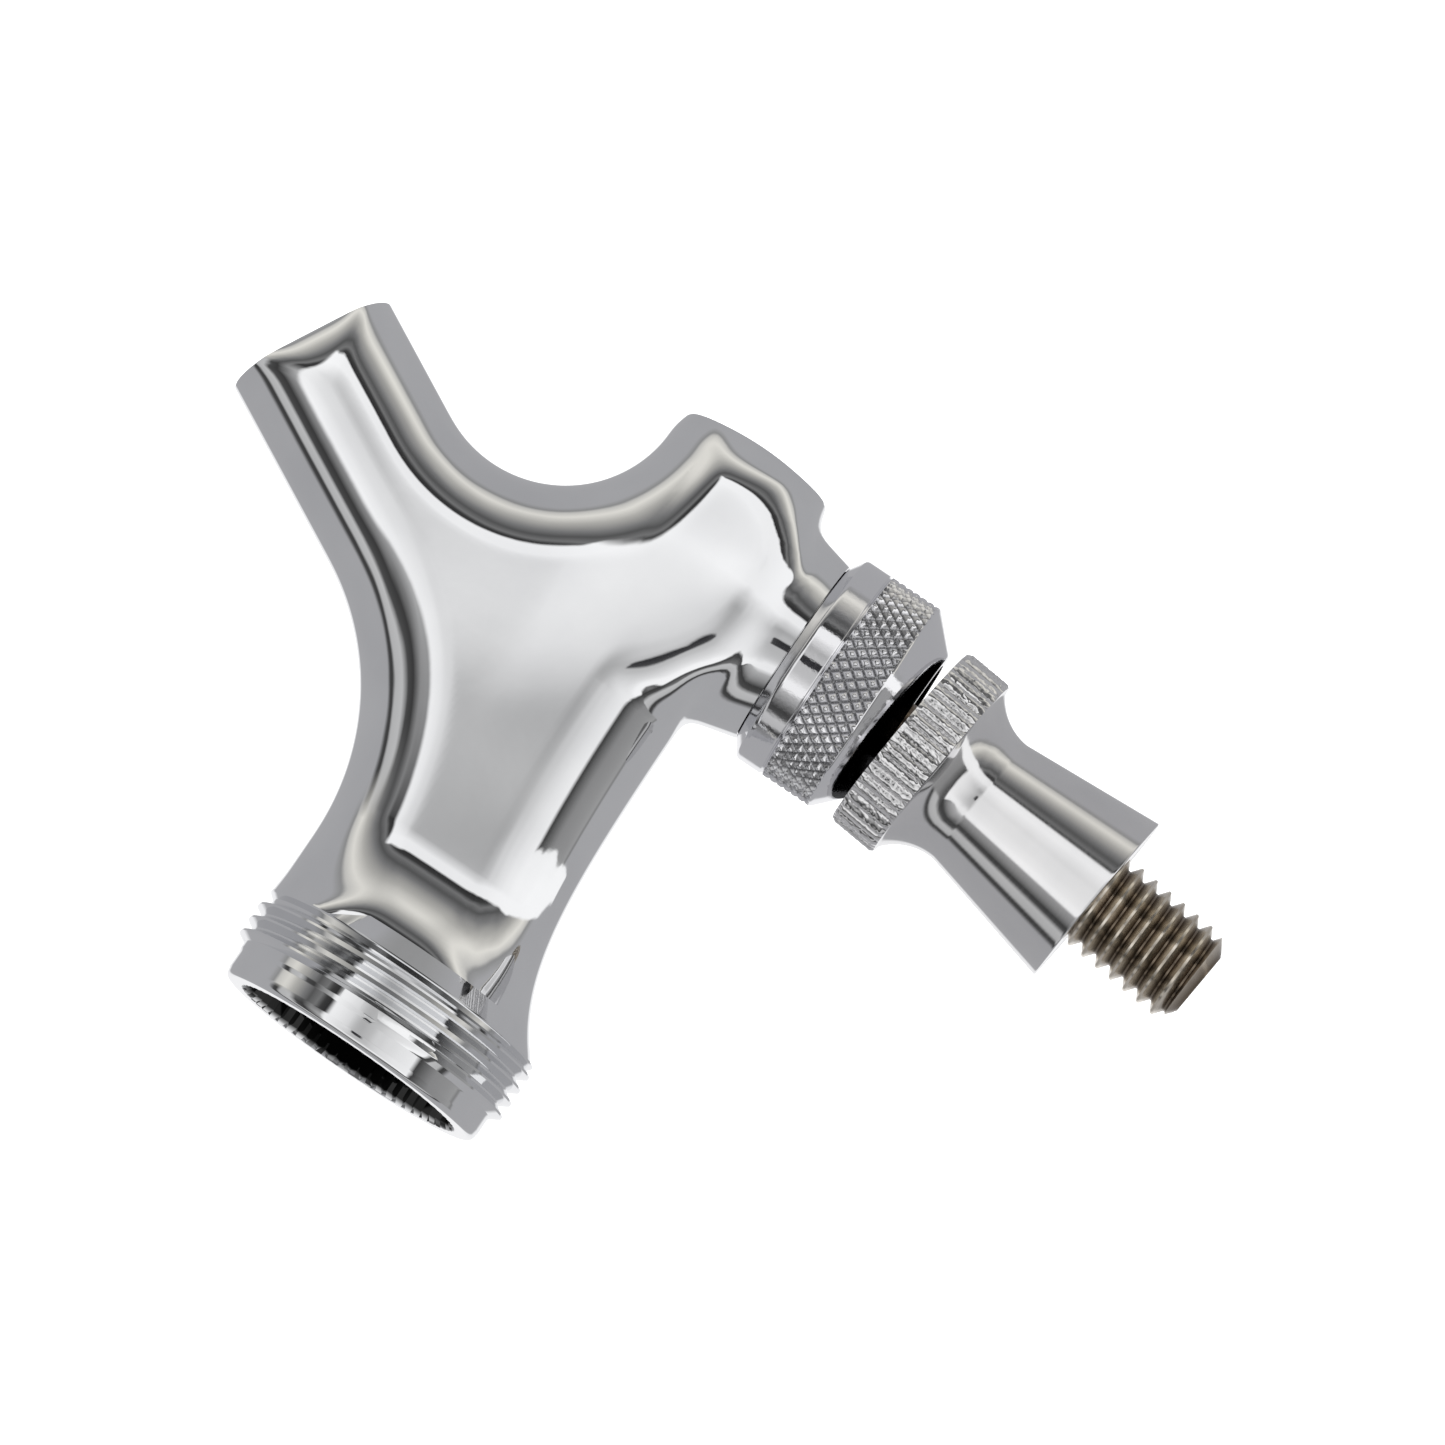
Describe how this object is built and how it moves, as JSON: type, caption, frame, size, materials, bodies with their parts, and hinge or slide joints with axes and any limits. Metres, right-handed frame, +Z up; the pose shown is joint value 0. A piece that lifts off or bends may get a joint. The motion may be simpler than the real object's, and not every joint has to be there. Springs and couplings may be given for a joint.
{
  "type": "draft beer faucet",
  "caption": "Chrome draft faucet with a ball-pivot lever that slides a rear-closing valve, a leaning spout, a toothed threaded coupling and a threaded stud for a tap handle.",
  "frame": {"origin": "centre of the coupling's open end face, on the axis of the barrel and its thread", "axes": "+Y runs out of the coupling into the shank, +Z is up towards the lever, -Y is the front of the faucet, +X is to the right when facing along +Y"},
  "size_m": [0.0286, 0.0661, 0.1019],
  "materials": {
    "chrome_body": "polished chrome plate over cast brass",
    "chrome_ferrule": "polished chrome plate",
    "chrome_collar": "polished chrome plate, knurled",
    "lever_steel": "plain stainless steel, turned",
    "shaft_steel": "turned stainless steel",
    "brass_nut": "machined brass",
    "brass_bonnet": "machined brass",
    "gasket_rubber": "black rubber",
    "seat_rubber": "black rubber",
    "nylon": "natural nylon"
  },
  "bodies": {
    "body": {"faucet_body": "chrome_body", "coupling_gasket": "gasket_rubber", "ball_washer": "nylon", "friction_washer": "nylon", "compression_bonnet": "brass_bonnet", "lever_collar": "chrome_collar"},
    "lever": {"lever": "lever_steel", "lever_ferrule": "chrome_ferrule"},
    "shaft": {"valve_shaft": "shaft_steel", "seat_backing_washer": "shaft_steel", "shaft_seat_washer": "seat_rubber", "seat_retaining_washer": "shaft_steel", "seat_nut": "brass_nut"}
  },
  "joints": [
    {"name": "lever_tilt", "type": "hinge", "parent": "body", "child": "lever", "pos_m": [0, -0.0525, 0.0169], "axis": [1, 0, 0], "range_deg": [0, 25]},
    {"name": "shaft_slide", "type": "slide", "parent": "body", "child": "shaft", "axis": [0, 1, 0], "range_m": [0, 0.0077]}
  ],
  "couplings": [
    {"joint": "shaft_slide", "follows": "lever_tilt", "m_per_rad": 0.0174}
  ]
}
